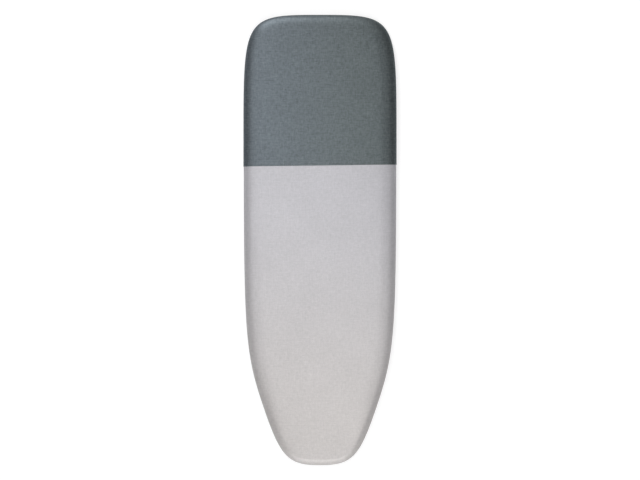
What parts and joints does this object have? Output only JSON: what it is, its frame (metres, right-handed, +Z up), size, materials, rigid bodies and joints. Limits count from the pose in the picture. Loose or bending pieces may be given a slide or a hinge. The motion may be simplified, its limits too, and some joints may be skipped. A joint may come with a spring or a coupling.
{
  "type": "ironing board cover",
  "caption": "Fitted ironing board cover: metallised panel, dark heat-resistant zone at the tail, foam and felt pad, and a corded hem with a push-button cord lock.",
  "frame": {"origin": "centre of the box of the whole cover, on the surface that its hem lies on", "axes": "+Z up out of the ironing face, +Y along the cover towards its wide tail end, +X to the right seen from above with the tail up"},
  "size_m": [0.4118, 1.2108, 0.0439],
  "materials": {
    "metallised_cloth": "satin",
    "dark_cloth": "satin",
    "foam": "matte",
    "grey_felt": "matte",
    "pale_felt": "matte",
    "tape": "matte",
    "elastic_cord": "matte",
    "black_plastic": "satin",
    "spring_steel": "satin"
  },
  "bodies": {
    "cover": {"main_panel": "metallised_cloth", "parking_panel": "dark_cloth", "foam_pad": "foam", "heat_felt": "grey_felt", "felt_underlay": "pale_felt", "edge_binding_left": "tape", "edge_binding_right": "tape", "edge_binding_nose_left": "tape", "edge_binding_nose_right": "tape", "drawcord": "elastic_cord", "drawcord_tail_left": "elastic_cord", "drawcord_tail_right": "elastic_cord", "cord_end_bell": "black_plastic"},
    "cord_lock": {"lock_barrel": "black_plastic", "lock_spring": "spring_steel"},
    "plunger": {"lock_plunger": "black_plastic"}
  },
  "joints": [
    {"name": "cord_lock_slide", "type": "slide", "parent": "cover", "child": "cord_lock", "axis": [0, -1, 0], "range_m": [0, 0.036]},
    {"name": "plunger_press", "type": "slide", "parent": "cord_lock", "child": "plunger", "axis": [-1, 0, 0], "range_m": [0, 0.0035], "stiffness_N_per_m": 1500, "springref_m": -0.002, "deforming": ["lock_spring"]}
  ]
}
